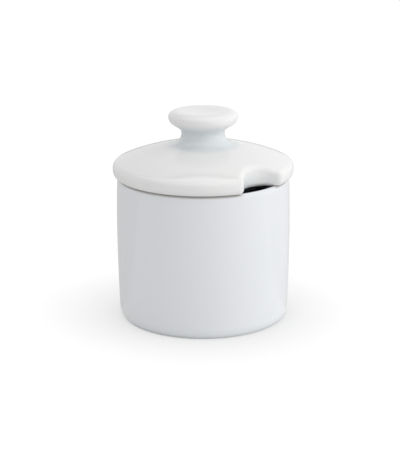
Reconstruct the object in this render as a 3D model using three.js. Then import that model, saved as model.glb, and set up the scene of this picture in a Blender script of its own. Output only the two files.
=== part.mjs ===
// Sugar pot: a barrelled porcelain cup and its lift-off lid, which has a mushroom knob, a rolled edge
// and a notch for a spoon. Millimetres, +Z up, origin at the middle of the circle that the foot rests on.
import * as THREE from 'three';

// Pot, outside
const potHeight = 70;
const bellyRadius = 42.5;
const bellyHeight = 45.5;
const rimDrawIn = 0.6;
const footDrawIn = 1;
const footTurnHeight = 4.5;
const footTurnDepth = 1.6;

// Pot, foot ring and inside
const footRingWidth = 4;
const footRecessDepth = 1.4;
const footRecessRound = 1.4;
const potWall = 2.6;
const rimRound = 1.1;
const floorThickness = 4.6;
const floorCove = 8;

// Lid, edge and crown; heights are over the seat
const lidOverhang = 2.1;
const edgeHeight = 4.2;
const edgeRoll = 4;
const seatInset = 3;
const crownRadius = 105;
const lidWall = 4.8;

// Lid, neck and knob
const neckRadius = 10.5;
const neckFlare = 6;
const neckRise = 3;
const knobRadius = 16.8;
const knobWidest = 29.2;
const knobUnderRoll = 4.2;
const knobTop = 32.1;
const knobCrestRadius = 12.4;
const knobDishDepth = 0.8;

// Lid, locating flange and core
const flangeClearance = 1;
const flangeRoot = 3.4;
const flangeTip = 1.2;
const flangeDepth = 5.5;
const flangeCove = 2.4;
const flangeRamp = 2.5;
const coreRadius = 4;
const coreRound = 2;
const coreTop = 26;

// Spoon notch
const notchAngle = -Math.PI / 2;
const notchRadius = 12.5;
const notchDepth = 9.1;
const notchFlare = 3.5;
const notchLip = 3;
const notchFootRound = 2.5;

// Fineness of the surfaces
const turnSteps = 64;
const wallSteps = 4;
const chordError = 0.07;
const bandSteps = 6;
const seatSteps = 5;
const flareSteps = 3;
const notchSteps = 10;
const ballSteps = 24;
const spokeShares = [0.75, 0.4];
const dishShares = [0.25, 0.5, 0.75];
const weldDistance = 0.0001;

const quarterTurn = Math.PI / 2;
const halfTurn = Math.PI;
const fullTurn = 2 * Math.PI;

// Sizes that follow from the ones above
const rimRadius = bellyRadius - rimDrawIn;
const lidRadius = rimRadius + lidOverhang;
const seatRadius = lidRadius - seatInset;
const edgeUnderRoll = (edgeHeight ** 2 + seatInset ** 2) / (2 * seatInset);
const edgeUnderAngle = Math.asin(edgeHeight / edgeUnderRoll);
const edgeRollCentre = lidRadius - edgeRoll;
const crownCentre = edgeHeight - Math.sqrt((crownRadius - edgeRoll) ** 2 - edgeRollCentre ** 2);
const crownEnd = edgeRollCentre * crownRadius / (crownRadius - edgeRoll);
const innerCrownRadius = crownRadius - lidWall;
const flangeOuter = rimRadius - potWall - flangeClearance;
const flangeMiddle = flangeOuter - flangeRoot / 2;
const flangeInner = flangeOuter - flangeRoot;
const notchWall = lidRadius - notchDepth;
const notchCentre = notchWall + notchRadius;

// The lid's grid keeps to its outline over this band, and is all circles inside the hub
const outlineBand = (notchLip + notchFlare) / 2;
const hubRadius = notchWall - 2 * outlineBand;

/** Points along an arc about (x, y), both ends included, as fine as the chord error asks. */
function arcPoints(x, y, radius, from, to) {
  const stepAngle = 2 * Math.acos(1 - chordError / radius);
  const steps = Math.max(2, Math.ceil(Math.abs(to - from) / stepAngle));
  const points = [];
  for (let i = 0; i <= steps; i += 1) {
    const angle = from + (to - from) * i / steps;
    points.push(new THREE.Vector2(x + radius * Math.cos(angle), y + radius * Math.sin(angle)));
  }
  return points;
}

/** The pot's outer radius at a height: full at the belly, drawn in smoothly to the rim and the foot. */
function wallRadius(height) {
  const above = height > bellyHeight;
  const reach = above ? potHeight - bellyHeight : bellyHeight;
  const drawIn = above ? rimDrawIn : footDrawIn;
  return bellyRadius - drawIn * ((height - bellyHeight) / reach) ** 2;
}

/** A stretch of the pot's wall from one height to another, moved in by a thickness. */
function wallPoints(from, to, thickness) {
  const points = [];
  for (let i = 0; i <= wallSteps; i += 1) {
    const height = from + (to - from) * i / wallSteps;
    points.push(new THREE.Vector2(wallRadius(height) - thickness, height));
  }
  return points;
}

/** The pot, turned from one closed section: recessed base, foot ring, wall, round rim, inside and floor. */
function makePotGeometry() {
  const turnRadius = (footTurnHeight ** 2 + footTurnDepth ** 2) / (2 * footTurnDepth);
  const turnCentre = wallRadius(footTurnHeight) - turnRadius;
  const turnAngle = Math.asin(footTurnHeight / turnRadius);
  const ringInner = turnCentre + turnRadius * Math.cos(turnAngle) - footRingWidth;
  const rimShoulder = potHeight - rimRound;
  const floorTop = footRecessDepth + floorThickness;
  const coveTop = floorTop + floorCove;
  const coveCentre = wallRadius(coveTop) - potWall - floorCove;
  const section = [
    new THREE.Vector2(0, footRecessDepth),
    ...arcPoints(ringInner - footRecessRound, footRecessDepth - footRecessRound, footRecessRound, quarterTurn, 0),
    ...arcPoints(turnCentre, footTurnHeight, turnRadius, -turnAngle, 0),
    ...wallPoints(footTurnHeight, rimShoulder, 0).slice(1),
    ...arcPoints(wallRadius(rimShoulder) - rimRound, rimShoulder, rimRound, 0, quarterTurn).slice(1),
    ...arcPoints(wallRadius(rimShoulder) - potWall + rimRound, rimShoulder, rimRound, quarterTurn, halfTurn),
    ...wallPoints(rimShoulder, coveTop, potWall).slice(1),
    ...arcPoints(coveCentre, coveTop, floorCove, 0, -quarterTurn).slice(1),
    new THREE.Vector2(0, floorTop),
  ];
  return new THREE.LatheGeometry(section, turnSteps);
}

/** Height of the lid's top over the seat at a radius, crown and edge roll, before the notch is cut. */
function topHeight(radius) {
  if (radius < crownEnd) {
    return crownCentre + Math.sqrt(crownRadius ** 2 - radius ** 2);
  }
  return edgeHeight + Math.sqrt(Math.max(0, edgeRoll ** 2 - (radius - edgeRollCentre) ** 2));
}

/** Height of the lid's underside outside the flange: the flat seat, then the under roll. */
function seatHeight(radius) {
  if (radius < seatRadius) {
    return 0;
  }
  const across = radius - (lidRadius - edgeUnderRoll);
  return edgeHeight - Math.sqrt(Math.max(0, edgeUnderRoll ** 2 - across ** 2));
}

/** Height of the hollow under the crown. */
function hollowHeight(radius) {
  return crownCentre + Math.sqrt(innerCrownRadius ** 2 - radius ** 2);
}

/** One place on the lid's plan outline, with the way into the clay and how deep the flange is there. */
function makeStation(at, inward, flangeShare) {
  return { at, inward, flangeShare, spoke: at.clone().normalize() };
}

/**
 * The lid's plan outline, anticlockwise, with the notch on +X: the notch arc, a flare of the opposite
 * curve at each corner, and the rest of the edge circle. All the arcs meet tangentially.
 */
function makeOutline() {
  const flareReach = lidRadius - notchFlare;
  const flareX = (notchCentre ** 2 + flareReach ** 2 - (notchRadius + notchFlare) ** 2) / (2 * notchCentre);
  const flareY = Math.sqrt(flareReach ** 2 - flareX ** 2);
  const mouthAngle = Math.atan2(flareY, flareX);
  const cornerAngle = Math.atan2(flareY, notchCentre - flareX);
  const upperCorner = [];
  for (let i = 0; i <= flareSteps; i += 1) {
    const angle = -cornerAngle + (cornerAngle + mouthAngle) * i / flareSteps;
    const out = new THREE.Vector2(Math.cos(angle), Math.sin(angle));
    const at = new THREE.Vector2(flareX, flareY).addScaledVector(out, notchFlare);
    upperCorner.push(makeStation(at, out.negate(), 0));
  }
  const edge = [];
  for (let i = 0; i < turnSteps; i += 1) {
    const angle = fullTurn * i / turnSteps;
    const fromMouth = lidRadius * (Math.min(angle, fullTurn - angle) - mouthAngle);
    if (fromMouth > flangeRamp / 2) {
      const out = new THREE.Vector2(Math.cos(angle), Math.sin(angle));
      const flangeShare = Math.min(1, fromMouth / flangeRamp);
      edge.push(makeStation(out.clone().multiplyScalar(lidRadius), out.negate(), flangeShare));
    }
  }
  const lowerCorner = upperCorner.map(({ at, inward }) => makeStation(
    new THREE.Vector2(at.x, -at.y),
    new THREE.Vector2(inward.x, -inward.y),
    0,
  )).reverse();
  const notch = [];
  for (let i = 1; i < notchSteps; i += 1) {
    const angle = cornerAngle * (2 * i / notchSteps - 1);
    const inward = new THREE.Vector2(-Math.cos(angle), Math.sin(angle));
    const at = new THREE.Vector2(notchCentre, 0).addScaledVector(inward, notchRadius);
    notch.push(makeStation(at, inward, 0));
  }
  return [...upperCorner, ...edge, ...lowerCorner, ...notch];
}

/** Plan place at an inset from the outline. */
function insetPlace(station, inset) {
  return station.at.clone().addScaledVector(station.inward, inset);
}

/** Plan place on the line from the outline band's inner side to the hub circle. */
function spokePlace(station, share) {
  const start = insetPlace(station, outlineBand);
  const end = station.spoke.clone().multiplyScalar(hubRadius);
  return start.lerp(end, share);
}

/** Share of that line at which a circle of the given radius crosses it, away from the notch. */
function spokeShare(radius) {
  const start = lidRadius - outlineBand;
  return (start - radius) / (start - hubRadius);
}

/**
 * Rolls a ball of the given radius along the notch wall under (side 1) or over (side -1) a surface.
 * Gives the height of the ball's centre, and the inset at which it touches the surface.
 */
function rollBall(station, ballRadius, surface, side) {
  let centre = Infinity;
  let touch = 0;
  for (let i = 0; i <= ballSteps; i += 1) {
    const angle = quarterTurn * i / ballSteps;
    const inset = ballRadius * (1 - Math.cos(angle));
    const height = side * surface(insetPlace(station, inset).length()) - ballRadius * Math.sin(angle);
    if (height < centre) {
      centre = height;
      touch = inset;
    }
  }
  return { centre: side * centre, touch };
}

/** Point at an inset from the outline on a surface whose edge is rounded by a rolled ball. */
function roundedPoint(station, inset, ballRadius, surface, side) {
  const place = insetPlace(station, inset);
  const ball = rollBall(station, ballRadius, surface, side);
  if (inset >= ball.touch && inset > 0) {
    return new THREE.Vector3(place.x, place.y, surface(place.length()));
  }
  const lift = Math.sqrt(ballRadius ** 2 - (ballRadius - inset) ** 2);
  return new THREE.Vector3(place.x, place.y, ball.centre + side * lift);
}

/** The knob and neck as one line, from the dish's edge down to the hub on the crown. */
function knobSection() {
  const flareCentre = neckRadius + neckFlare;
  const waistHeight = crownCentre + Math.sqrt((crownRadius + neckFlare) ** 2 - flareCentre ** 2);
  const flareAngle = Math.atan2(waistHeight - crownCentre, flareCentre);
  const riseCentre = neckRadius + neckRise;
  const rollCentre = knobRadius - knobUnderRoll;
  const across = rollCentre - riseCentre;
  const up = knobWidest - waistHeight;
  const opening = Math.acos((neckRise + knobUnderRoll) / Math.hypot(across, up));
  const tangent = Math.atan2(up, across) + opening;
  const crestWidth = knobRadius - knobCrestRadius;
  const crestRise = (knobTop - knobWidest) / crestWidth;
  const crest = arcPoints(0, 0, crestWidth, quarterTurn, 0).map(({ x, y }) => new THREE.Vector2(
    knobCrestRadius + x,
    knobWidest + crestRise * y,
  ));
  return [
    ...crest,
    ...arcPoints(rollCentre, knobWidest, knobUnderRoll, 0, tangent - halfTurn).slice(1),
    ...arcPoints(riseCentre, waistHeight, neckRise, tangent, halfTurn),
    ...arcPoints(flareCentre, waistHeight, neckFlare, halfTurn, flareAngle + halfTurn).slice(1),
    new THREE.Vector2(hubRadius, topHeight(hubRadius)),
  ];
}

/** The knob's shallow dish, from near its middle out towards the crest. */
function dishSection() {
  return dishShares.map((share) => new THREE.Vector2(
    knobCrestRadius * share,
    knobTop - knobDishDepth * Math.cos(quarterTurn * share) ** 2,
  ));
}

/** The flange's outer root, rounded tip and inner root, as radii and heights. */
function flangeSection() {
  const tip = arcPoints(flangeMiddle, flangeTip - flangeDepth, flangeTip, 0, -halfTurn);
  return [new THREE.Vector2(flangeOuter, 0), ...tip, new THREE.Vector2(flangeInner, 0)];
}

/** The hollow core that runs up into the knob, from its rounded mouth to its end. */
function coreSection() {
  const mouthRadius = coreRadius + coreRound;
  return [
    new THREE.Vector2(mouthRadius, hollowHeight(mouthRadius)),
    new THREE.Vector2(coreRadius, hollowHeight(coreRadius) + coreRound),
    ...arcPoints(coreRadius - coreRound, coreTop - coreRound, coreRound, 0, quarterTurn),
  ];
}

/** A full circle about the axis, with a point for each station. */
function circleRing(outline, radius, height) {
  return outline.map(({ spoke }) => new THREE.Vector3(spoke.x * radius, spoke.y * radius, height));
}

/** A ring at one share of every spoke, at a height that may depend on its radius and station. */
function spokeRing(outline, share, heightAt) {
  return outline.map((station) => {
    const place = spokePlace(station, share);
    return new THREE.Vector3(place.x, place.y, heightAt(place.length(), station));
  });
}

/** The rings of the lid's upper side, from the knob's dish out to the outline. */
function topRings(outline) {
  const rings = [...dishSection(), ...knobSection()].map(({ x, y }) => circleRing(outline, x, y));
  for (const share of spokeShares) {
    rings.push(spokeRing(outline, share, topHeight));
  }
  for (let i = bandSteps; i >= 0; i -= 1) {
    const inset = outlineBand * (1 - Math.cos(quarterTurn * i / bandSteps));
    rings.push(outline.map((station) => roundedPoint(station, inset, notchLip, topHeight, 1)));
  }
  return rings;
}

/** The rings of the lid's under side, from the outline in over the seat, flange, hollow and core. */
function underRings(outline) {
  const rings = [];
  for (let i = 0; i <= seatSteps; i += 1) {
    const inset = edgeUnderRoll * (1 - Math.cos(edgeUnderAngle * i / seatSteps));
    rings.push(outline.map((station) => roundedPoint(station, inset, notchFootRound, seatHeight, -1)));
  }
  rings.push(spokeRing(outline, 0, seatHeight));
  for (const { x, y } of flangeSection()) {
    rings.push(spokeRing(outline, spokeShare(x), (radius, station) => y * station.flangeShare));
  }
  for (const { x, y } of arcPoints(flangeInner - flangeCove, -flangeCove, flangeCove, 0, quarterTurn)) {
    rings.push(spokeRing(outline, spokeShare(x), (radius) => hollowHeight(radius) + y));
  }
  rings.push(circleRing(outline, hubRadius, hollowHeight(hubRadius)));
  rings.push(circleRing(outline, neckRadius, hollowHeight(neckRadius)));
  return [...rings, ...coreSection().map(({ x, y }) => circleRing(outline, x, y))];
}

/** Closes rings of points between two end points; points that meet along a station share a vertex. */
function skinRings(start, rings, end) {
  const points = [start];
  const numbered = [rings[0].map(() => 0)];
  rings.forEach((ring, k) => {
    numbered.push(ring.map((point, s) => {
      if (k > 0 && point.distanceTo(rings[k - 1][s]) < weldDistance) {
        return numbered[k][s];
      }
      return points.push(point) - 1;
    }));
  });
  points.push(end);
  numbered.push(rings[0].map(() => points.length - 1));
  const index = [];
  const addFace = (a, b, c) => {
    if (a !== b && b !== c && c !== a) {
      index.push(a, b, c);
    }
  };
  for (let k = 1; k < numbered.length; k += 1) {
    const inner = numbered[k - 1];
    const outer = numbered[k];
    for (let s = 0; s < inner.length; s += 1) {
      const next = (s + 1) % inner.length;
      addFace(inner[s], outer[s], outer[next]);
      addFace(inner[s], outer[next], inner[next]);
    }
  }
  const geometry = new THREE.BufferGeometry().setFromPoints(points);
  geometry.setIndex(index);
  geometry.computeVertexNormals();
  return geometry;
}

/** The lid, with its notch on +X and the seat at height zero. */
function makeLidGeometry() {
  const outline = makeOutline();
  const rings = [...topRings(outline), ...underRings(outline)];
  const dishBottom = new THREE.Vector3(0, 0, knobTop - knobDishDepth);
  return skinRings(dishBottom, rings, new THREE.Vector3(0, 0, coreTop));
}

const potGlaze = new THREE.MeshStandardMaterial({ color: 0xf0f1f2, roughness: 0.16, metalness: 0 });
const lidGlaze = new THREE.MeshStandardMaterial({ color: 0xf2f2f1, roughness: 0.12, metalness: 0 });

const pot = new THREE.Mesh(makePotGeometry(), potGlaze);
pot.name = 'pot';
pot.rotation.x = quarterTurn;

const lid = new THREE.Mesh(makeLidGeometry(), lidGlaze);
lid.name = 'lid';
lid.position.z = potHeight;
lid.rotation.z = notchAngle;

const sugarPot = new THREE.Group();
sugarPot.add(pot, lid);

export default sugarPot;
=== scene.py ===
"""The look of a glazed porcelain sugar pot: a turned pot, a notched lid with its knob, and a white studio.

Lengths are in metres. The pot's axis is Z, its foot rests at height zero, and the lid's spoon notch is on -Y.
"""
import logging
import math
from collections.abc import Callable
from dataclasses import dataclass, field
from enum import Enum

import bpy
import numpy as np
from bpy.types import ID, Material, Mesh, Node, NodeSocket as Socket, NodeTree, Object
from mathutils import Euler, Matrix, Vector


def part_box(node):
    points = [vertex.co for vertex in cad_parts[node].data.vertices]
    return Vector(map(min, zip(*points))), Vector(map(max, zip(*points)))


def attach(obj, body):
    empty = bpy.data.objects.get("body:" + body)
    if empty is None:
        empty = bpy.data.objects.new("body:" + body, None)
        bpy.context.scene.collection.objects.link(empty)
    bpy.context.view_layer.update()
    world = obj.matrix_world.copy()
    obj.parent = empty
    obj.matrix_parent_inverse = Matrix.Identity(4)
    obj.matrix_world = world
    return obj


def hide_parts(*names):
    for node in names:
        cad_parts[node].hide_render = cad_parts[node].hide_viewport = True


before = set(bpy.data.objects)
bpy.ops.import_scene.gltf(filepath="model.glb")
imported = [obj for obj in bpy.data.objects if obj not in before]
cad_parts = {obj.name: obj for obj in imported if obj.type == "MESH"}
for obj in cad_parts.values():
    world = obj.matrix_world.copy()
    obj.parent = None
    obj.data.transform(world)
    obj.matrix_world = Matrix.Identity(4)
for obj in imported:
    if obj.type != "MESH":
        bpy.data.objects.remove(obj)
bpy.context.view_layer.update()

Array = np.ndarray
Inputs = dict[str | int, object]
Triple = tuple[float, float, float]
Span = tuple[float, float]
Surface = Callable[[Array], Array]

MM = 0.001
SLACK = 0.01 * MM  # a point this near to a surface is on it
MARGIN = 0.1 * MM  # a point this far past a surface is clear of it
WELD_REACH = 0.002 * MM
SEAM_REACH = 0.001 * MM
QUARTER_TURN = math.pi / 2
HALF_TURN = math.pi
FULL_TURN = math.tau
WHITE = (1, 1, 1, 1)
NODE_WIDTH, NODE_HEIGHT, NODE_ROWS = 180, 160, 3

log = logging.getLogger("sugar_pot")


class Body(Enum):
    """The bodies that pieces ride on."""

    POT = "pot"
    LID = "lid"


class Mask(Enum):
    """Names of the values that a mesh carries for its material, from 0 to 1 over the surface."""

    BARE = "bare_clay"
    # gathered glaze, with painted shade under the knob and on the notch wall
    POOL = "glaze_pool"
    # painted shade along the seam where lid and rim meet
    WORN = "worn_seat"


def linear(level: float) -> float:
    """Linear light for a display level from 0 to 255."""
    share = level / 255
    return share / 12.92 if share <= 0.04045 else ((share + 0.055) / 1.055) ** 2.4


def display_color(red: float, green: float, blue: float) -> tuple[float, float, float, float]:
    """Linear colour, with full alpha, for display levels from 0 to 255."""
    return (linear(red), linear(green), linear(blue), 1.0)


def pairs(first: Array | float, second: Array | float) -> Array:
    """Rows of two coordinates, where one number may stand for a whole column."""
    return np.column_stack(np.broadcast_arrays(first, second))


def arc(x: float, y: float, radius: float, start: float, end: float, steps: int) -> Array:
    """Points along an arc about (x, y) in a number of steps, one row each, both ends included."""
    angle = np.linspace(start, end, steps + 1)
    return pairs(x + radius * np.cos(angle), y + radius * np.sin(angle))


def smooth_step(value: Array, low: float, high: float) -> Array:
    """A soft ramp from 0 at low to 1 at high, which may lie either way round."""
    share = np.clip((value - low) / (high - low), 0, 1)
    return share * share * (3 - 2 * share)


def carry_masks(mesh: Mesh, masks: dict[Mask, Array]) -> None:
    """Stores the value of each mask at each of a mesh's points."""
    for mask, values in masks.items():
        mesh.attributes.new(mask.value, "FLOAT", "POINT").data.foreach_set("value", values.astype(np.float32))


def add_object(name: str, data: ID) -> Object:
    """Adds an object to the scene, at the origin.

    Args:
        name: Its name.
        data: Its mesh, camera or light.

    Returns:
        The new object.
    """
    item = bpy.data.objects.new(name, data)
    bpy.context.scene.collection.objects.link(item)
    return item


def settled(maker: Object, name: str) -> Object:
    """Swaps an object for a plain one that has its shape with the modifiers applied.

    Args:
        maker: The object, which is removed.
        name: Name of the new piece.

    Returns:
        The piece, at the origin, with no modifier.
    """
    mesh = bpy.data.meshes.new_from_object(maker.evaluated_get(bpy.context.evaluated_depsgraph_get()))
    mesh.name = name
    maker.modifiers.clear()
    bpy.data.objects.remove(maker)
    return add_object(name, mesh)


class Tree:
    """Places and links the nodes of one node tree, from left to right."""

    def __init__(self, tree: NodeTree) -> None:
        """Starts on the tree that nodes are added to."""
        self.tree = tree
        self.column = 0

    @classmethod
    def of(cls, owner: ID) -> "Tree":
        """Starts on the emptied tree of a material or world.

        Args:
            owner: The material or world.

        Returns:
            The tree's helper.
        """
        owner.use_nodes = True
        owner.node_tree.nodes.clear()
        return cls(owner.node_tree)

    @classmethod
    def of_group(
            cls, name: str, kind: str, inputs: Inputs, outputs: dict[str, str]) -> tuple["Tree", dict[str, Socket]]:
        """Starts on the tree of a new node group.

        Args:
            name: The group's name.
            kind: Shader or Geometry.
            inputs: For each input its value where nothing is linked, or the short name of its type.
            outputs: The short name of each output's type.

        Returns:
            The tree's helper, and what the group is given, by name.
        """
        tree = cls(bpy.data.node_groups.new(name, kind + "NodeTree"))
        sockets = tree.tree.interface
        for label, value in inputs.items():
            typed = value if isinstance(value, str) else type(value).__name__.title()
            socket = sockets.new_socket(name=label, in_out="INPUT", socket_type="NodeSocket" + typed)
            if typed != value:
                socket.default_value = value
        for label, typed in outputs.items():
            sockets.new_socket(name=label, in_out="OUTPUT", socket_type="NodeSocket" + typed)
        inside = tree.add("NodeGroupInput").outputs
        return tree, {label: inside[label] for label in inputs}

    def add(self, kind: str, inputs: Inputs | None = None, **settings: object) -> Node:
        """Adds a node.

        Args:
            kind: The node's type name.
            inputs: A value or an output socket for each input, by name or number.
            settings: Values for the node's own properties.

        Returns:
            The new node.
        """
        node = self.tree.nodes.new(kind)
        node.location = (self.column * NODE_WIDTH, -(self.column % NODE_ROWS) * NODE_HEIGHT)
        self.column += 1
        for name, value in settings.items():
            setattr(node, name, value)
        for name, value in (inputs or {}).items():
            self.feed(node.inputs[name], value)
        return node

    def out(self, kind: str, inputs: Inputs | None = None, **settings: object) -> Socket:
        """Adds a node as add does, and returns its first output."""
        return self.add(kind, inputs, **settings).outputs[0]

    def feed(self, socket: Socket, value: object) -> None:
        """Links or sets an input.

        Args:
            socket: The input.
            value: An output socket to link, or a plain value to set.
        """
        if isinstance(value, Socket):
            self.tree.links.new(value, socket)
        else:
            socket.default_value = value

    def math(self, operation: str, first: object, second: object = 0.0, third: object = 0.0) -> Socket:
        """Adds a Math node for up to three values or sockets, and returns its output."""
        return self.out("ShaderNodeMath", {0: first, 1: second, 2: third}, operation=operation)

    def noise(self, place: Socket, scale: object, detail: float) -> Socket:
        """Adds a Noise Texture in three dimensions, and returns its value."""
        return self.out("ShaderNodeTexNoise", {"Vector": place, "Scale": scale, "Detail": detail})

    def mask(self, mask: Mask) -> Socket:
        """Reads a mask that the mesh carries."""
        return self.add("ShaderNodeAttribute", attribute_name=mask.value).outputs["Fac"]

    def blend(self, share: object, first: object, second: object) -> Socket:
        """Mixes two colours or two numbers.

        Args:
            share: How much of the second there is.
            first: A colour, a number or a socket.
            second: The same kind of value, or a socket.

        Returns:
            The mixed socket.
        """
        is_color = isinstance(second, tuple) or getattr(second, "type", "") == "RGBA"
        node = self.add("ShaderNodeMix", data_type="RGBA" if is_color else "FLOAT", clamp_factor=True)
        for socket, value in zip([item for item in node.inputs if item.enabled], (share, first, second)):
            self.feed(socket, value)
        return next(socket for socket in node.outputs if socket.enabled)


class GlazeEffects:
    """Shader groups that every glazed material of the pot shares."""

    def __init__(self) -> None:
        """Builds the groups once."""
        self.waves = self.make_waves()
        self.specks = self.make_specks()
        self.edge = self.make_edge()

    @staticmethod
    def make_waves() -> NodeTree:
        """Makes the slow swell of a poured glaze with the fine ripple of its skin on it.

        Returns:
            A group that gives a height and a slow tone, both from 0 to 1.
        """
        tree, inside = Tree.of_group("glaze_waves", "Shader", {
            "Vector": "Vector", "Swell Scale": 45.0, "Ripple Scale": 600.0, "Ripple Share": 0.1},
            {"Height": "Float", "Tone": "Float"})
        swell = tree.noise(inside["Vector"], inside["Swell Scale"], detail=1.5)
        ripple = tree.noise(inside["Vector"], inside["Ripple Scale"], detail=1.0)
        height = tree.math("MULTIPLY_ADD", ripple, inside["Ripple Share"], swell)
        tree.add("NodeGroupOutput", {"Height": height, "Tone": swell})
        return tree.tree

    @staticmethod
    def make_specks() -> NodeTree:
        """Makes the few pin-head specks that iron in the clay leaves under a glaze.

        Returns:
            A group that gives a mask, 1 on a speck and 0 elsewhere.
        """
        tree, inside = Tree.of_group("kiln_specks", "Shader", {
            "Vector": "Vector", "Cells Per Metre": 140.0, "Speck Radius": 0.03, "Chance": 0.06}, {"Mask": "Float"})
        cells = tree.add("ShaderNodeTexVoronoi", {"Vector": inside["Vector"], "Scale": inside["Cells Per Metre"]},
                         voronoi_dimensions="3D", feature="F1").outputs
        near = tree.math("DIVIDE", cells["Distance"], inside["Speck Radius"])
        spot = tree.out("ShaderNodeMapRange", {
            "Value": near, "From Min": 0.5, "From Max": 1.0, "To Min": 1.0, "To Max": 0.0},
            interpolation_type="SMOOTHSTEP")
        draw = tree.out("ShaderNodeSeparateColor", {0: cells["Color"]})
        chosen = tree.math("LESS_THAN", draw, inside["Chance"])
        tree.add("NodeGroupOutput", {"Mask": tree.math("MULTIPLY", spot, chosen)})
        return tree.tree

    @staticmethod
    def make_edge() -> NodeTree:
        """Makes the wavering line at which a glaze ends on bare clay.

        Returns:
            A group that turns a soft mask into a mask with a wandering, nearly sharp edge.
        """
        tree, inside = Tree.of_group("glaze_line", "Shader", {
            "Vector": "Vector", "Soft Mask": 0.0, "Waver Scale": 300.0, "Waver": 0.3}, {"Mask": "Float"})
        noise = tree.noise(inside["Vector"], inside["Waver Scale"], detail=2.0)
        centred = tree.math("SUBTRACT", noise, 0.5)
        shifted = tree.math("MULTIPLY_ADD", centred, inside["Waver"], inside["Soft Mask"])
        mask = tree.out("ShaderNodeMapRange", {"Value": shifted, "From Min": 0.4, "From Max": 0.6},
                        interpolation_type="SMOOTHSTEP")
        tree.add("NodeGroupOutput", {"Mask": mask})
        return tree.tree


@dataclass(frozen=True)
class GlazeFinish:
    """White glaze over porcelain, with bare ground clay under that mask; colours are in display levels."""

    name: str
    glaze: Triple
    pooled: Triple = (219, 224, 227)  # where the glaze has gathered, and painted shade under the knob and on the notch wall
    bare: Triple = (226, 222, 214)  # ground clay
    speck: Triple = (176, 168, 158)  # iron under the glaze
    worn: Triple = (203, 201, 198)  # painted shade along the seam where lid and rim meet
    gloss: float = 0.07  # roughness at its smoothest
    gloss_spread: float = 0.03  # how much rougher it gets
    clay_roughness: float = 0.72
    tone_share: float = 0.12  # how far the slow swell thickens the glaze
    wave_height: float = 0.05 * MM  # of the slow swell
    clay_height: float = 0.02 * MM  # of the clay's grain
    clay_grains: float = 2500.0  # to a metre
    ior: float = 1.45
    specular: float = 0.5  # where the glaze faces the eye
    rim_power: float = 2.0  # how late it is lost as it turns away

    def build(self, effects: GlazeEffects) -> Material:
        """Builds the material.

        Args:
            effects: The shared shader groups.

        Returns:
            The finished material.
        """
        material = bpy.data.materials.new(self.name)
        tree = Tree.of(material)
        place = tree.add("ShaderNodeTexCoord").outputs["Object"]
        waves = tree.add("ShaderNodeGroup", {"Vector": place}, node_tree=effects.waves).outputs
        specks = tree.out("ShaderNodeGroup", {"Vector": place}, node_tree=effects.specks)
        bare = tree.out("ShaderNodeGroup", {"Vector": place, "Soft Mask": tree.mask(Mask.BARE)},
                        node_tree=effects.edge)
        # The pool mask carries gathered glaze and painted shade under the knob and on the notch wall.
        thick_and_shaded = tree.math("MULTIPLY_ADD", waves["Tone"], self.tone_share, tree.mask(Mask.POOL))
        color = display_color(*self.glaze)
        # The seam mask is painted shade along the line where lid and rim meet.
        for share, levels in ((thick_and_shaded, self.pooled), (specks, self.speck), (tree.mask(Mask.WORN), self.worn),
                              (bare, self.bare)):
            color = tree.blend(share, color, display_color(*levels))
        gloss = tree.math("MULTIPLY_ADD", waves["Tone"], self.gloss_spread, self.gloss)
        grain = tree.noise(place, self.clay_grains, detail=3.0)
        rise = tree.blend(bare, tree.math("MULTIPLY", waves["Height"], self.wave_height),
                          tree.math("MULTIPLY", grain, self.clay_height))
        bump = tree.out("ShaderNodeBump", {"Strength": 1.0, "Distance": 1.0, "Height": rise})
        facing = tree.add("ShaderNodeLayerWeight", {"Blend": 0.5}).outputs["Facing"]
        kept = tree.math("SUBTRACT", 1.0, tree.math("POWER", facing, self.rim_power))
        shader = tree.out("ShaderNodeBsdfPrincipled", {
            "Base Color": color, "Roughness": tree.blend(bare, gloss, self.clay_roughness), "IOR": self.ior,
            "Specular IOR Level": tree.math("MULTIPLY", kept, self.specular), "Normal": bump})
        tree.add("ShaderNodeOutputMaterial", {"Surface": shader})
        return material


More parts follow.
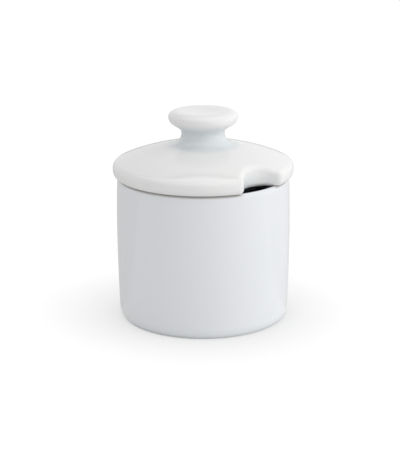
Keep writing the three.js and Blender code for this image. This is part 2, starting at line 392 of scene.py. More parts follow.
class TurnedForm:
    """Turns a section into a closed body about Z, with Geometry Nodes."""

    def __init__(self) -> None:
        """Builds the node tree once."""
        self.tree, self.inside = Tree.of_group("turned_form", "Geometry", {
            "Section": "Geometry", "Height": 0.07, "Belly Radius": 0.0425, "Belly Height": 0.0455,
            "Rim Draw In": 0.0006, "Foot Draw In": 0.001, "Steps": 256, "Finish": "Material"}, {"Body": "Geometry"})
        self.fill()

    def fill(self) -> None:
        """Lays out the tree: a grid whose rows follow the section and whose columns go round."""
        tree, section, steps = self.tree, self.inside["Section"], self.inside["Steps"]
        rows = tree.out("GeometryNodeAttributeDomainSize", {0: section}, component="MESH")
        last_row = tree.math("SUBTRACT", rows, 1.0)
        geometry = tree.out("GeometryNodeMeshGrid", {
            "Size X": steps, "Size Y": last_row, "Vertices X": tree.math("ADD", steps, 1.0), "Vertices Y": rows})
        spot = tree.add("ShaderNodeSeparateXYZ", {0: tree.out("GeometryNodeInputPosition")}).outputs
        column = tree.math("MULTIPLY_ADD", steps, 0.5, spot[0])
        row = tree.math("ROUND", tree.math("MULTIPLY_ADD", last_row, 0.5, spot[1]))
        angle = tree.math("MULTIPLY", tree.math("DIVIDE", column, steps), FULL_TURN)
        place = tree.add("ShaderNodeSeparateXYZ", {0: self.sample(row, None)}).outputs
        radius = tree.math("MULTIPLY", place[0], self.barrel(place[2]))
        moved = tree.out("ShaderNodeCombineXYZ", {
            "X": tree.math("MULTIPLY", radius, tree.math("COSINE", angle)),
            "Y": tree.math("MULTIPLY", radius, tree.math("SINE", angle)), "Z": place[2]})
        for mask in Mask:
            value = self.sample(row, mask.value)
            geometry = tree.out(
                "GeometryNodeStoreNamedAttribute", {"Geometry": geometry, "Name": mask.value, "Value": value},
                data_type="FLOAT", domain="POINT")
        for kind, inputs in (
                ("SetPosition", {"Position": moved}), ("MergeByDistance", {"Distance": SEAM_REACH}),
                ("SetShadeSmooth", {}), ("RealizeInstances", {}),
                ("SetMaterial", {"Material": self.inside["Finish"]})):
            geometry = tree.out("GeometryNode" + kind, {"Geometry": geometry, **inputs})
        tree.add("NodeGroupOutput", {"Body": geometry})

    def sample(self, row: Socket, name: str | None) -> Socket:
        """Reads the section at a row.

        Args:
            row: Number of the section's point.
            name: The attribute to read, or None for the point's place.

        Returns:
            The value read.
        """
        if name is None:
            kind, value = "FLOAT_VECTOR", self.tree.out("GeometryNodeInputPosition")
        else:
            kind = "FLOAT"
            value = self.tree.out("GeometryNodeInputNamedAttribute", {"Name": name}, data_type=kind)
        return self.tree.out(
            "GeometryNodeSampleIndex", {"Geometry": self.inside["Section"], "Value": value, "Index": row},
            data_type=kind, domain="POINT")

    def barrel(self, height: Socket) -> Socket:
        """Works out how much a straight-sided section is drawn in, as a share of its radius.

        Args:
            height: Height of the point.

        Returns:
            A factor that is 1 at the belly and falls as a parabola to the rim and to the foot.
        """
        tree, inside = self.tree, self.inside
        over = tree.math("SUBTRACT", height, inside["Belly Height"])
        above = tree.math("GREATER_THAN", over, 0.0)
        upper_reach = tree.math("SUBTRACT", inside["Height"], inside["Belly Height"])
        reach = tree.blend(above, inside["Belly Height"], upper_reach)
        draw = tree.blend(above, inside["Foot Draw In"], inside["Rim Draw In"])
        share = tree.math("POWER", tree.math("ABSOLUTE", tree.math("DIVIDE", over, reach)), 2.0)
        loss = tree.math("DIVIDE", tree.math("MULTIPLY", draw, share), inside["Belly Radius"])
        return tree.math("SUBTRACT", 1.0, loss)

    def turn(self, name: str, section: Mesh, sizes: Inputs, finish: Material) -> Object:
        """Turns one section and leaves a plain mesh.

        Args:
            name: Name of the new piece.
            section: Points in the XZ plane, joined by edges, in order from the base round to the floor.
            sizes: A value for each of the tree's inputs that is a size or a count.
            finish: The material of the body.

        Returns:
            The turned piece, at the origin, with no modifier left.
        """
        maker = add_object(name + "_section", section)
        modifier = maker.modifiers.new("turn", "NODES")
        modifier.node_group = self.tree.tree
        items = self.tree.tree.interface.items_tree
        sockets = {item.name: item.identifier for item in items if item.in_out == "INPUT"}
        for label, value in {**sizes, "Finish": finish}.items():
            modifier[sockets[label]] = value
        return settled(maker, name)


@dataclass
class Pot:
    """The turned cup: recessed base, foot ring, barrelled wall, round rim, coved floor."""

    finish: GlazeFinish
    belly_height: float = 45.5 * MM  # where it is widest
    rim_draw_in: float = 0.6 * MM  # of its radius
    foot_draw_in: float = 1.0 * MM  # at table height
    foot_turn_height: float = 4.5 * MM  # where the wall turns in
    foot_turn_depth: float = 1.6 * MM  # and how far
    foot_ring_width: float = 4.0 * MM
    foot_recess_depth: float = 1.4 * MM
    foot_recess_round: float = 1.4 * MM  # of the step up to the base
    wall: float = 2.6 * MM
    rim_round: float = 1.9 * MM  # outer corner
    rim_round_inside: float = 0.65 * MM
    floor_thickness: float = 4.6 * MM
    floor_cove: float = 8.0 * MM
    notch_half: float = 10.0 * MM  # half the rim that the lid's notch leaves free
    notch_fade: float = 2.0 * MM  # over which the painted seam shade comes up
    glaze_line: Span = (0.45 * MM, 0.05 * MM)  # heights between which bare clay fades out
    cove_heights: Span = (14 * MM, 6 * MM)  # where glaze thickens down into the cove
    cove_radii: Span = (24 * MM, 34 * MM)  # and out into it
    base_radii: Span = (28 * MM, 35 * MM)  # and out under the base
    pool_share: float = 0.8  # how thick it gets
    rubbed: Span = (0.6, 0.25)  # shares of rim_round below the rim, where the painted seam shade lies
    wall_steps: int = 36
    steps: int = 256
    height: float = field(init=False)  # from the frame
    belly_radius: float = field(init=False)  # from the frame

    def __post_init__(self) -> None:
        """Takes the overall sizes from the frame."""
        low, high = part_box("pot")
        self.height = high[2]
        self.belly_radius = (high[0] - low[0]) / 2

    def section(self) -> Array:
        """Lays out the section with straight walls, from the base's middle round to the floor's.

        Returns:
            A radius and a height in each row.
        """
        depth, rise = self.foot_turn_depth, self.foot_turn_height
        turn_radius = (rise ** 2 + depth ** 2) / (2 * depth)
        turn_angle = math.asin(rise / turn_radius)
        turn_centre = self.belly_radius - turn_radius
        ring_inner = turn_centre + turn_radius * math.cos(turn_angle) - self.foot_ring_width
        recess, step = self.foot_recess_depth, self.foot_recess_round
        shoulder = self.height - self.rim_round
        inner, inner_round = self.belly_radius - self.wall, self.rim_round_inside
        inner_shoulder = self.height - inner_round
        floor_top = recess + self.floor_thickness
        cove_top = floor_top + self.floor_cove
        return np.concatenate([
            pairs(np.linspace(0, ring_inner - step, num=7)[:-1], recess),
            arc(ring_inner - step, recess - step, step, QUARTER_TURN, 0, steps=8),
            pairs(np.linspace(ring_inner, ring_inner + self.foot_ring_width, num=6)[1:-1], 0),
            arc(turn_centre, rise, turn_radius, -turn_angle, 0, steps=16),
            pairs(self.belly_radius, np.linspace(rise, shoulder, self.wall_steps + 1)[1:]),
            arc(self.belly_radius - self.rim_round, shoulder, self.rim_round, 0, QUARTER_TURN, steps=10)[1:],
            arc(inner + inner_round, inner_shoulder, inner_round, QUARTER_TURN, HALF_TURN, steps=8),
            pairs(inner, np.linspace(inner_shoulder, cove_top, self.wall_steps + 1)[1:]),
            arc(inner - self.floor_cove, cove_top, self.floor_cove, 0, -QUARTER_TURN, steps=12)[1:],
            pairs(np.linspace(inner - self.floor_cove, 0, num=7)[1:], floor_top),
        ])

    def section_mesh(self) -> Mesh:
        """Makes the section a chain of edges that carries the masks.

        Returns:
            The chain, in the XZ plane.
        """
        points = self.section()
        radius, height = points.T
        mesh = bpy.data.meshes.new("pot_section")
        mesh.from_pydata([(r, 0.0, z) for r, z in points], [(i, i + 1) for i in range(len(points) - 1)], [])
        ring_start = self.belly_radius - self.foot_turn_depth - self.foot_ring_width - self.foot_recess_round
        bare = (radius > ring_start - MARGIN) * smooth_step(height, *self.glaze_line)
        over_base = height > self.foot_recess_depth + MARGIN
        inside = over_base & (radius < self.belly_radius - self.wall / 2)
        cove = inside * smooth_step(height, *self.cove_heights) * smooth_step(radius, *self.cove_radii)
        base = ~over_base * smooth_step(radius, *self.base_radii) * (1 - bare)
        # The rim's top carries painted shade where the lid sits on it.
        shade_start, shade_end = (self.height - share * self.rim_round for share in self.rubbed)
        carry_masks(mesh, {Mask.BARE: bare, Mask.POOL: self.pool_share * np.maximum(cove, base),
                           Mask.WORN: smooth_step(height, shade_start, shade_end)})
        return mesh

    def spare_notch(self, mesh: Mesh) -> None:
        """Takes the painted seam shade off the rim where the lid's notch leaves it free.

        Args:
            mesh: The turned pot.
        """
        places, worn = np.empty(3 * len(mesh.vertices), np.float32), np.empty(len(mesh.vertices), np.float32)
        mesh.vertices.foreach_get("co", places)
        mask = mesh.attributes[Mask.WORN.value].data
        mask.foreach_get("value", worn)
        beside = smooth_step(np.abs(places[0::3]), self.notch_half, self.notch_half + self.notch_fade)
        mask.foreach_set("value", (worn * np.where(places[1::3] < 0, beside, 1)).astype(np.float32))

    def build(self, turning: TurnedForm, effects: GlazeEffects) -> Object:
        """Makes the pot and gives it its glaze.

        Args:
            turning: The tree that turns sections.
            effects: The shared shader groups.

        Returns:
            The finished piece.
        """
        sizes = {
            "Height": self.height, "Belly Radius": self.belly_radius, "Belly Height": self.belly_height,
            "Rim Draw In": self.rim_draw_in, "Foot Draw In": self.foot_draw_in, "Steps": self.steps}
        piece = turning.turn("pot_body", self.section_mesh(), sizes, self.finish.build(effects))
        self.spare_notch(piece.data)
        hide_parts("pot")
        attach(piece, Body.POT.value)
        return piece


@dataclass
class Outline:
    """The lid's outline in plan, with the notch on +X, as stations in order round the edge."""

    at: Array
    inward: Array  # unit way into the clay
    flange: Array  # how deep the flange is, from 0 to 1

    def spoke(self) -> Array:
        """Unit way from the axis to each station."""
        return self.at / np.linalg.norm(self.at, axis=1, keepdims=True)

    def inset(self, distance: float) -> Array:
        """Place of each station moved into the clay."""
        return self.at + self.inward * distance


@dataclass
class Notch:
    """The spoon notch in the lid's edge."""

    radius: float = 12.5 * MM  # of its wall, in plan
    depth: float = 9.1 * MM  # in from the edge
    flare: float = 3.5 * MM  # corners in plan
    lip: float = 3.0 * MM  # rounding along its top
    foot_round: float = 2.5 * MM  # rounding along its foot
    flange_ramp: float = 2.5 * MM  # over which the flange comes up beside it
    run: float = 5.0 * MM  # how far to each side the painted shade on its wall changes
    thin: float = 0.3  # painted shade kept on the lighter side, of 1
    pool_depth: Span = (1.5 * MM, 0.2 * MM)  # from its wall out, where the painted shade lies
    pool_height: Span = (6.5 * MM, 2.0 * MM)  # over the seat, the painted shade darker towards the bottom
    flare_steps: int = 14
    wall_steps: int = 44
    ball_steps: int = 48


@dataclass
class Knob:
    """The neck and the mushroom knob on it; heights are over the lid's seat."""

    neck_radius: float = 10.5 * MM  # at its thinnest
    neck_flare: float = 6.0 * MM  # sweep up from the crown
    neck_rise: float = 3.0 * MM  # sweep out under the knob
    radius: float = 16.8 * MM
    widest: float = 29.2 * MM  # height of its greatest radius
    under_roll: float = 4.2 * MM  # rounding below that
    top: float = 32.1 * MM  # height of the crest
    crest_radius: float = 12.4 * MM  # round the dish
    dish_depth: float = 0.8 * MM
    pool_flare: Span = (1.5, 0.5)  # shares of neck_flare out from the neck, where pooled glaze and painted shade lie
    pool_roll: Span = (0.2, 1.2)  # shares of under_roll below the widest line
    pool_share: float = 0.85  # how strong the pooled glaze and painted shade under the knob get

    def dish(self) -> Array:
        """Section of the dish, from near its middle out to near the crest."""
        share = np.linspace(0.05, 0.95, num=16)
        return pairs(self.crest_radius * share, self.top - self.dish_depth * np.cos(QUARTER_TURN * share) ** 2)

    def side(self, crown_centre: float, crown_radius: float) -> Array:
        """Lays out the section from the crest down to where the neck's sweep meets the crown.

        Args:
            crown_centre: Height of the centre of the crown's sphere.
            crown_radius: Radius of that sphere.

        Returns:
            Radii and heights, from the crest down.
        """
        flare_centre = self.neck_radius + self.neck_flare
        waist = crown_centre + math.sqrt((crown_radius + self.neck_flare) ** 2 - flare_centre ** 2)
        flare_angle = math.atan2(waist - crown_centre, flare_centre)
        rise_centre = self.neck_radius + self.neck_rise
        roll_centre = self.radius - self.under_roll
        across, up = roll_centre - rise_centre, self.widest - waist
        opening = math.acos((self.neck_rise + self.under_roll) / math.hypot(across, up))
        tangent = math.atan2(up, across) + opening
        reach = np.array([self.radius - self.crest_radius, self.top - self.widest])
        return np.concatenate([
            np.array([self.crest_radius, self.widest]) + reach * arc(0, 0, 1, QUARTER_TURN, 0, steps=16),
            arc(roll_centre, self.widest, self.under_roll, 0, tangent - HALF_TURN, steps=14)[1:],
            arc(rise_centre, waist, self.neck_rise, tangent, HALF_TURN, steps=12),
            arc(flare_centre, waist, self.neck_flare, HALF_TURN, flare_angle + HALF_TURN, steps=18)[1:]])


@dataclass
class Lid:
    """The lid: crown, rolled edge, notch, knob, seat and flange in one closed skin."""

    finish: GlazeFinish
    notch: Notch
    knob: Knob
    edge_height: float = 4.2 * MM  # widest line of the edge, over the seat
    edge_roll: float = 4.0 * MM  # radius above that line
    seat_inset: float = 5.0 * MM  # from the edge in to the seat
    under_power: float = 2.9  # fullness of the under roll; 2 is an ellipse
    crown_radius: float = 105.0 * MM
    wall: float = 4.8 * MM  # thickness of the crown
    flange_outer: float = 38.3 * MM
    flange_root: float = 3.4 * MM  # thickness at the seat
    flange_tip: float = 1.2 * MM  # radius of its end
    flange_depth: float = 5.5 * MM
    flange_cove: float = 2.4 * MM  # from the flange to the hollow
    core_radius: float = 4.0 * MM  # hollow up into the knob
    core_round: float = 2.0 * MM  # at its mouth and end
    core_top: float = 26.0 * MM
    rubbed: Span = (0.7 * MM, 0.2 * MM)  # heights over the seat of the painted seam shade
    edge_steps: int = 300
    radius: float = field(init=False)  # from the frame
    seat_height: float = field(init=False)  # over the table, from the frame

    def __post_init__(self) -> None:
        """Takes the overall sizes from the frame, and works out the rest."""
        low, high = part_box("lid")
        self.radius = (high[0] - low[0]) / 2
        self.seat_height = high[2] - self.knob.top
        self.seat_radius = self.radius - self.seat_inset
        self.roll_centre = self.radius - self.edge_roll
        self.crown_centre = self.edge_height - math.sqrt(
            (self.crown_radius - self.edge_roll) ** 2 - self.roll_centre ** 2)
        self.crown_end = self.roll_centre * self.crown_radius / (self.crown_radius - self.edge_roll)
        self.notch_centre = self.radius - self.notch.depth + self.notch.radius
        self.band = (self.notch.lip + self.notch.flare) / 2
        self.hub_radius = self.radius - self.notch.depth - 2 * self.band
        self.outline = self.lay_out()

    def top_height(self, radius: Array) -> Array:
        """Height of the upper side.

        Args:
            radius: Radii to take it at.

        Returns:
            The height of the crown or of the edge's roll at each.
        """
        crown = self.crown_centre + np.sqrt(self.crown_radius ** 2 - np.minimum(radius, self.crown_end) ** 2)
        roll = self.edge_height + np.sqrt(np.maximum(0, self.edge_roll ** 2 - (radius - self.roll_centre) ** 2))
        return np.where(radius < self.crown_end, crown, roll)

    def under_height(self, radius: Array) -> Array:
        """Height of the seat and of the edge's under roll at each radius."""
        share = np.clip((radius - self.seat_radius) / self.seat_inset, 0, 1)
        return self.edge_height * (1 - (1 - share ** self.under_power) ** (1 / self.under_power))

    def hollow_height(self, radius: Array | float) -> Array | float:
        """Height of the hollow under the crown at each radius."""
        return self.crown_centre + np.sqrt((self.crown_radius - self.wall) ** 2 - radius ** 2)

    def lay_out(self) -> Outline:
        """Lays out the stations.

        Returns:
            Those of the upper corner, the edge circle, the lower corner and the notch wall, in that order.
        """
        notch = self.notch
        reach = self.radius - notch.flare
        flare_x = (self.notch_centre ** 2 + reach ** 2 - (notch.radius + notch.flare) ** 2) / (2 * self.notch_centre)
        flare_y = math.sqrt(reach ** 2 - flare_x ** 2)
        mouth = math.atan2(flare_y, flare_x)
        corner = math.atan2(flare_y, self.notch_centre - flare_x)
        out = arc(0, 0, 1, -corner, mouth, notch.flare_steps)
        upper = np.array([flare_x, flare_y]) + out * notch.flare
        mirror = np.array([1, -1])
        round_edge = mouth + (FULL_TURN - 2 * mouth) * np.arange(1, self.edge_steps) / self.edge_steps
        edge_out = pairs(np.cos(round_edge), np.sin(round_edge))
        sweep = corner * (2 * np.arange(1, notch.wall_steps) / notch.wall_steps - 1)
        wall_in = pairs(-np.cos(sweep), np.sin(sweep))
        from_mouth = self.radius * (np.minimum(round_edge, FULL_TURN - round_edge) - mouth)
        still = np.zeros(len(upper))
        return Outline(
            at=np.concatenate([upper, edge_out * self.radius, (upper * mirror)[::-1],
                               np.array([self.notch_centre, 0]) + wall_in * notch.radius]),
            inward=np.concatenate([-out, -edge_out, (-out * mirror)[::-1], wall_in]),
            flange=np.concatenate([
                still, smooth_step(from_mouth, 0, notch.flange_ramp), still, np.zeros(len(wall_in))]))

    def rounded(self, inset: float, ball: float, surface: Surface, side: int) -> Array:
        """Places a ring on a surface whose edge is rounded by a ball rolled along the notch wall.

        Args:
            inset: How far in from the outline the ring lies.
            ball: The ball's radius.
            surface: Height of the surface at each radius.
            side: 1 where the ball is under the surface, -1 where it is over it.

        Returns:
            One point for each station.
        """
        angle = np.linspace(0, QUARTER_TURN, self.notch.ball_steps + 1)
        steps = ball * (1 - np.cos(angle))
        centres = np.stack([
            side * surface(np.linalg.norm(self.outline.inset(step), axis=1)) - ball * math.sin(turn)
            for step, turn in zip(steps, angle)])
        centre = side * centres.min(axis=0)
        touch = steps[centres.argmin(axis=0)]
        place = self.outline.inset(inset)
        on_surface = surface(np.linalg.norm(place, axis=1))
        lift = math.sqrt(max(0.0, ball ** 2 - (ball - min(inset, ball)) ** 2))
        return np.column_stack([place, np.where((inset >= touch) & (inset > 0), on_surface, centre + side * lift)])

    def spoke_ring(self, share: float, surface: Surface) -> Array:
        """Places a ring between the outline's band and the hub circle.

        Args:
            share: How far from the band to the hub it lies.
            surface: Height of the surface at each radius.

        Returns:
            One point for each station.
        """
        start = self.outline.inset(self.band)
        place = start + (self.outline.spoke() * self.hub_radius - start) * share
        return np.column_stack([place, surface(np.linalg.norm(place, axis=1))])

    def spoke_share(self, radius: float) -> float:
        """Share of the way from the band to the hub at which a radius lies, away from the notch."""
        start = self.radius - self.band
        return (start - radius) / (start - self.hub_radius)

    def circle_ring(self, radius: float, height: float) -> Array:
        """Places a circle about the axis, with a point for each station."""
        return np.column_stack([self.outline.spoke() * radius, np.full(len(self.outline.at), height)])

    def top_rings(self) -> list[Array]:
        """Places the rings of the upper side.

        Returns:
            The rings, from the dish out to the outline.
        """
        profile = np.concatenate([self.knob.dish(), self.knob.side(self.crown_centre, self.crown_radius)])
        crown = np.linspace(profile[-1, 0], self.hub_radius, num=10)[1:]
        rings = [self.circle_ring(r, z) for r, z in profile]
        rings += [self.circle_ring(r, float(self.top_height(np.array(r)))) for r in crown]
        rings += [self.spoke_ring(share, self.top_height) for share in np.linspace(0.92, 0.08, num=12)]
        insets = self.band * (1 - np.cos(np.linspace(QUARTER_TURN, 0, num=25)))
        return rings + [self.rounded(inset, self.notch.lip, self.top_height, side=1) for inset in insets]

    def under_rings(self) -> list[Array]:
        """Places the rings of the under side.

        Returns:
            The rings, from the outline over the seat, the flange and the hollow to the core.
        """
        roll = self.seat_inset * (1 - np.cos(np.linspace(0, QUARTER_TURN, num=19)) ** (2 / self.under_power))
        insets = [*roll, *np.linspace(self.seat_inset, self.band, num=10)[1:-1]]
        rings = [self.rounded(inset, self.notch.foot_round, self.under_height, side=-1) for inset in insets]
        rings.append(self.spoke_ring(0, self.under_height))
        flange_inner = self.flange_outer - self.flange_root
        middle = self.flange_outer - self.flange_root / 2
        tip = arc(middle, self.flange_tip - self.flange_depth, self.flange_tip, 0, -HALF_TURN, steps=14)
        for r, z in [(self.flange_outer, 0.0), *tip, (flange_inner, 0.0)]:
            rings.append(self.spoke_ring(self.spoke_share(r), lambda radius, depth=z: depth * self.outline.flange))
        cove = self.flange_cove
        for r, z in arc(flange_inner - cove, -cove, cove, 0, QUARTER_TURN, steps=10):
            rings.append(self.spoke_ring(
                self.spoke_share(r), lambda radius, drop=z: self.hollow_height(radius) + drop))
        core, curve = self.core_radius, self.core_round
        hollow = [(r, self.hollow_height(r)) for r in np.linspace(self.hub_radius, core + curve, num=12)]
        end = arc(core - curve, self.core_top - curve, curve, 0, QUARTER_TURN, steps=6)
        mouth = (core, self.hollow_height(core) + curve)
        return rings + [self.circle_ring(r, z) for r, z in [*hollow, mouth, *end]]

    def masks(self, points: Array) -> dict[Mask, Array]:
        """Works out where the seat is bare, where glaze gathers and painted shade lies under the knob and on the
        notch wall, and where painted shade lies along the seam.

        Args:
            points: Every point of the skin, over the seat.

        Returns:
            A value from 0 to 1 for each point, for each mask.
        """
        radius, height = np.linalg.norm(points[:, :2], axis=1), points[:, 2]
        seat = (np.abs(height) < 2 * SLACK) & (radius > self.flange_outer - SLACK)
        outside = height > self.hollow_height(np.minimum(radius, self.radius)) + self.wall / 2
        edge = (height > -SLACK) & (radius > self.seat_radius - SLACK) & ~outside
        knob, notch = self.knob, self.notch
        flare = smooth_step(radius, *(knob.neck_radius + share * knob.neck_flare for share in knob.pool_flare))
        under = smooth_step(height, *(knob.widest - share * knob.under_roll for share in knob.pool_roll))
        # Painted shade on the notch wall, darker towards its foot and on one side.
        run = smooth_step(points[:, 1], notch.run, -notch.run) * (1 - notch.thin) + notch.thin
        from_wall = np.hypot(points[:, 0] - self.notch_centre, points[:, 1]) - notch.radius
        wall = run * smooth_step(from_wall, *notch.pool_depth) * smooth_step(height, *notch.pool_height)
        # Pooled glaze with painted shade under the knob, and painted shade on the notch wall.
        pool_and_shade = np.maximum(knob.pool_share * outside * flare * under, wall)
        # The edge near the seat carries painted shade along the seam.
        return {Mask.BARE: seat.astype(float), Mask.POOL: pool_and_shade, Mask.WORN: edge * smooth_step(height, *self.rubbed)}

    def build(self, effects: GlazeEffects) -> Object:
        """Makes the lid and gives it its glaze.

        Args:
            effects: The shared shader groups.

        Returns:
            The finished piece.
        """
        start = np.array([0, 0, self.knob.top - self.knob.dish_depth])
        end = np.array([0, 0, self.core_top])
        points = np.concatenate([start[None], *self.top_rings(), *self.under_rings(), end[None]])
        # The outline has its notch on +X, and the pot has it on -Y.
        placed = np.column_stack([points[:, 1], -points[:, 0], points[:, 2] + self.seat_height])
        piece = skin("lid_body", placed, len(self.outline.at), self.masks(points))
        piece.data.materials.append(self.finish.build(effects))
        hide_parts("lid")
        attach(piece, Body.LID.value)
        return piece


def skin(name: str, points: Array, count: int, masks: dict[Mask, Array]) -> Object:
    """Closes rings of points between two end points.

    Args:
        name: Name of the new piece.
        points: The first end, every ring in order, and the last end.
        count: Number of points in each ring.
        masks: Values that the points carry.

    Returns:
        The piece, smooth-shaded, with points that lie on each other merged.
    """
    last = len(points) - 1
    final = last - count
    faces = []
    for s in range(count):
        following = (s + 1) % count
        faces.append((0, 1 + s, 1 + following))
        for inner in range(1, final, count):
            outer = inner + count
            faces.append((inner + s, outer + s, outer + following, inner + following))
        faces.append((final + s, last, final + following))
    mesh = bpy.data.meshes.new(name + "_rings")
    mesh.from_pydata(points.tolist(), [], faces)
    carry_masks(mesh, masks)
    maker = add_object(name + "_rings", mesh)
    maker.modifiers.new("weld", "WELD").merge_threshold = WELD_REACH
    piece = settled(maker, name)
    piece.data.shade_smooth()
    return piece


@dataclass
class Studio:
    """The white table and backdrop, the lights and the camera.

    A place is given from the camera's side: to the right, away from the camera, and up.
    """

    notch_bearing: float = 41.0  # degrees from the camera round to the notch
    camera_distance: float = 644.22 * MM  # level
    camera_height: float = 232.65 * MM
    camera_shift: float = -1.66 * MM  # to the right
    camera_pitch: float = 0.2866  # downwards, in radians
    camera_roll: float = -0.004  # anticlockwise as seen through it, in radians
    lens: float = 107.25  # in millimetres
    frame_width: float = 36.0  # in millimetres
    sky: float = 0.76  # strength of the light from all round
    key_power: float = 9.1  # watts of the large soft light on the right
    key_place: Triple = (1.3, -0.35, 0.7)
    key_size: Span = (1.2, 1.2)
    key_aim: float = 50.0 * MM  # height that it faces
    card_power: float = 10.5  # watts of the card overhead, seen only in the glaze
    card_place: Triple = (-0.4, -0.335, 1.1)
    card_size: Span = (1.8, 1.87)
    card_border: float = 0.09  # black strip on its far side
    sweep_reach: float = 0.6  # where the pale sheet behind turns up
    sweep_width: float = 1.6
    sweep_lift: float = 1.0 * MM  # over the table
    sweep_height: float = 0.08  # how far up it goes
    sweep_level: float = 0.65  # of 1 for white
    floor_half: float = 3.0
    floor_glow: float = 0.86  # sent to the camera by itself
    floor_tone: float = 0.2  # of the light and shade on it
    floor_bounce: float = 0.77  # thrown back onto the pot
    contact_reach: float = 50.0 * MM  # where its glow is dimmed, a painted shadow round the foot
    contact_share: float = 0.5  # how strongly the painted shadow dims it

    def __post_init__(self) -> None:
        """Works out the turn that puts the camera's side in front."""
        self.turn = math.radians(-self.notch_bearing)

    def around(self, place: Triple) -> Vector:
        """Turns a place given from the camera's side into the scene's own axes."""
        return Matrix.Rotation(self.turn, 3, "Z") @ Vector(place)

    def add_camera(self) -> None:
        """Stands the camera where the picture was taken from."""
        data = bpy.data.cameras.new("camera")
        data.lens = self.lens
        data.sensor_width = self.frame_width
        data.clip_start = 10 * MM
        camera = add_object("camera", data)
        camera.location = self.around((self.camera_shift, -self.camera_distance, self.camera_height))
        heading = Euler((QUARTER_TURN - self.camera_pitch, 0.0, self.turn))
        camera.rotation_euler = (heading.to_matrix() @ Matrix.Rotation(self.camera_roll, 3, "Z")).to_euler()
        bpy.context.scene.camera = camera

    def add_light(self, name: str, place: Triple, size: Span, power: float) -> Object:
        """Adds a soft light that faces straight down.

        Args:
            name: The light's name.
            place: Where it stands.
            size: Its width and height.
            power: Its power in watts.

        Returns:
            The light.
        """
        data = bpy.data.lights.new(name, "AREA")
        data.shape = "RECTANGLE"
        data.size, data.size_y = size
        data.energy = power
        light = add_object(name, data)
        light.location = self.around(place)
        light.rotation_euler = (0.0, 0.0, self.turn)
        return light

    def add_key(self) -> None:
        """Adds the main light, which faces the pot and doesn't show in the glaze."""
        key = self.add_light("key", self.key_place, self.key_size, self.key_power)
        aim = Vector((0, 0, self.key_aim)) - key.location
        key.rotation_euler = aim.to_track_quat("-Z", "Y").to_euler()
        key.visible_glossy = False

    def add_card(self) -> None:
        """Hangs a bright card overhead that shows in the glaze but gives no light of its own."""
        card = self.add_light("card", self.card_place, self.card_size, self.card_power)
        card.visible_diffuse = card.visible_camera = False
        x, y, z = self.card_place
        across, edge = self.card_size[0] / 2, y + self.card_size[1] / 2
        self.add_panel("card_border", (x - across, edge, z), (x + across, edge + self.card_border, z), level=0.0)

    def add_sweep(self) -> None:
        """Stands a pale sheet behind the pot that shows only in the glaze."""
        reach, half, lift, level = self.sweep_reach, self.sweep_width / 2, self.sweep_lift, self.sweep_level
        self.add_panel("sweep_flat", (-half, 0, lift), (half, reach, lift), level)
        self.add_panel("sweep_upright", (-half, reach, lift), (half, reach, self.sweep_height), level)

    @staticmethod
    def add_flat(name: str, near: Triple, far: Triple) -> tuple[Object, Tree]:
        """Adds a flat sheet with an empty material.

        Args:
            name: Name of the sheet and of its material.
            near: Its near corner on the left.
            far: Its far corner on the right, which may be higher.

        Returns:
            The sheet, and the helper for its material's nodes.
        """
        (left, front, low), (right, back, high) = near, far
        mesh = bpy.data.meshes.new(name)
        mesh.from_pydata([(left, front, low), (right, front, low), (right, back, high), (left, back, high)],
                         [], [(0, 1, 2, 3)])
        mesh.materials.append(bpy.data.materials.new(name))
        return add_object(name, mesh), Tree.of(mesh.materials[0])

    def add_panel(self, name: str, near: Triple, far: Triple, level: float) -> None:
        """Adds a flat panel that shows only as a reflection.

        Args:
            name: The panel's name.
            near: Its near corner on the left, given from the camera's side.
            far: Its far corner on the right.
            level: How bright it is, from black at 0 to white at 1.
        """
        panel, tree = self.add_flat(name, near, far)
        panel.data.transform(Matrix.Rotation(self.turn, 4, "Z"))
        light = tree.out("ShaderNodeEmission", {"Color": WHITE, "Strength": level})
        tree.add("ShaderNodeOutputMaterial", {"Surface": light})
        panel.visible_camera = panel.visible_diffuse = panel.visible_transmission = panel.visible_shadow = False

    @staticmethod
    def background_rays(tree: Tree) -> Socket:
        """Tells the rays that show the background to the eye from those that only light the pot.

        Args:
            tree: The tree to tell them in.

        Returns:
            1 for a ray that sees the background straight, by gloss or through glass, and 0 for the rest.
        """
        rays = tree.add("ShaderNodeLightPath").outputs
        seen = tree.math("MAXIMUM", rays["Is Camera Ray"], rays["Is Glossy Ray"])
        return tree.math("MAXIMUM", seen, rays["Is Transmission Ray"])

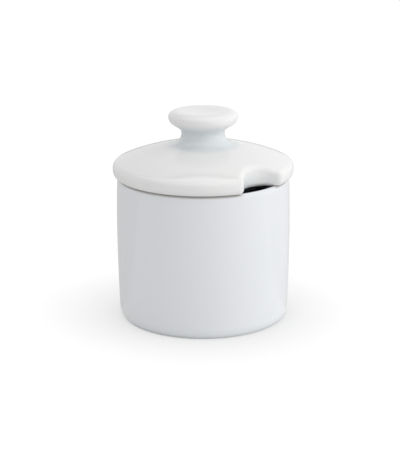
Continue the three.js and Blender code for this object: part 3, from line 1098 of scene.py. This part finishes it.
    def add_world(self) -> None:
        """Makes the world white to the eye, and an even light on the pot."""
        world = bpy.data.worlds.new("white_world")
        tree = Tree.of(world)
        strength = tree.math("MULTIPLY_ADD", self.background_rays(tree), 1.0 - self.sky, self.sky)
        background = tree.out("ShaderNodeBackground", {"Color": WHITE, "Strength": strength})
        tree.add("ShaderNodeOutputWorld", {"Surface": background})
        bpy.context.scene.world = world

    def add_floor(self) -> None:
        """Lays the white table, which keeps the pot's shadow and has a painted contact shadow round the foot."""
        half, bounce, tone = self.floor_half, self.floor_bounce, self.floor_tone
        floor, tree = self.add_flat("floor", (-half, -half, 0), (half, half, 0))
        matte = tree.out("ShaderNodeBsdfDiffuse", {"Color": (bounce, bounce, bounce, 1)})
        shade = tree.out("ShaderNodeBsdfDiffuse", {"Color": (tone, tone, tone, 1)})
        open_sky = tree.add("ShaderNodeAmbientOcclusion", {"Distance": self.contact_reach}).outputs["AO"]
        # Painted contact shadow: the glow is dimmed where the pot hides the sky.
        painted_shadow = tree.math("MULTIPLY", tree.math("SUBTRACT", 1.0, open_sky), self.contact_share)
        strength = tree.math("MULTIPLY", tree.math("SUBTRACT", 1.0, painted_shadow), self.floor_glow)
        light = tree.out("ShaderNodeEmission", {"Color": WHITE, "Strength": strength})
        shown = tree.out("ShaderNodeAddShader", {0: shade, 1: light})
        surface = tree.out("ShaderNodeMixShader", {0: self.background_rays(tree), 1: matte, 2: shown})
        tree.add("ShaderNodeOutputMaterial", {"Surface": surface})

    def build(self) -> None:
        """Sets up the whole studio."""
        bpy.context.scene.view_settings.view_transform = "Standard"
        self.add_camera()
        self.add_world()
        self.add_floor()
        self.add_key()
        self.add_card()
        self.add_sweep()


def main() -> None:
    """Builds the studio and the two pieces."""
    logging.basicConfig(level=logging.INFO, format="%(name)s: %(message)s")
    Studio().build()
    effects = GlazeEffects()
    pieces = [
        Pot(finish=GlazeFinish(name="pot_glaze", glaze=(233, 235, 238))).build(TurnedForm(), effects),
        Lid(finish=GlazeFinish(name="lid_glaze", glaze=(238, 238, 237)), notch=Notch(), knob=Knob()).build(effects),
    ]


if __name__ == "__main__":
    main()
